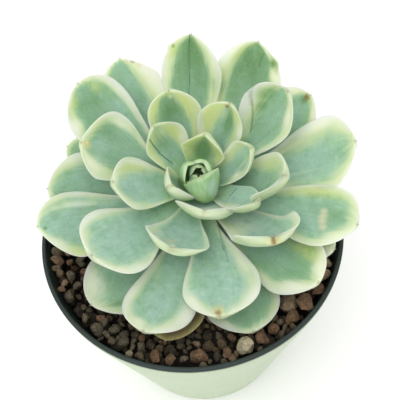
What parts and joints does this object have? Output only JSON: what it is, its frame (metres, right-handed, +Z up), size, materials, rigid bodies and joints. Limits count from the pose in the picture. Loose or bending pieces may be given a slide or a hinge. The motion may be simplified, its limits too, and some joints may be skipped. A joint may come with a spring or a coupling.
{
  "type": "potted echeveria",
  "caption": "Variegated rosette succulent with pale blue-green, cream-edged spoon leaves, in a dark nursery liner of granular soil inside a tapered celadon pot.",
  "frame": {"origin": "centre of the cover pot's flat bottom face", "axes": "+Z up along the pot's axis; -Y is the side that the rosette leans towards, +X to the right when seen from there"},
  "size_m": [0.0925, 0.09, 0.1134],
  "materials": {
    "leaf_skin": "waxy, satin; stands in for succulent leaf",
    "young_leaf": "waxy, satin; stands in for succulent leaf",
    "dry_leaf_skin": "dry and papery",
    "stem_skin": "matte",
    "granules": "rough baked-clay and pumice granules",
    "liner_plastic": "satin moulded plastic",
    "cover_plastic": "satin moulded plastic"
  },
  "bodies": {
    "root": {"cover_pot": "cover_plastic", "liner_pot": "liner_plastic", "soil": "granules", "stem": "stem_skin", "bud": "young_leaf", "leaf_01": "leaf_skin", "leaf_02": "leaf_skin", "leaf_03": "leaf_skin", "leaf_04": "leaf_skin", "leaf_05": "leaf_skin", "leaf_06": "leaf_skin", "leaf_07": "leaf_skin", "leaf_08": "leaf_skin", "leaf_09": "leaf_skin", "leaf_10": "leaf_skin", "leaf_11": "leaf_skin", "leaf_12": "leaf_skin", "leaf_13": "leaf_skin", "leaf_14": "leaf_skin", "leaf_15": "leaf_skin", "leaf_16": "leaf_skin", "leaf_17": "leaf_skin", "leaf_18": "leaf_skin", "leaf_19": "leaf_skin", "leaf_20": "leaf_skin", "leaf_21": "leaf_skin", "leaf_22": "leaf_skin", "leaf_23": "leaf_skin", "leaf_24": "leaf_skin", "leaf_25": "leaf_skin", "leaf_26": "leaf_skin", "leaf_27": "leaf_skin", "leaf_28": "leaf_skin", "leaf_29": "leaf_skin", "leaf_30": "leaf_skin", "leaf_31": "leaf_skin", "dry_leaf": "dry_leaf_skin"}
  },
  "joints": []
}
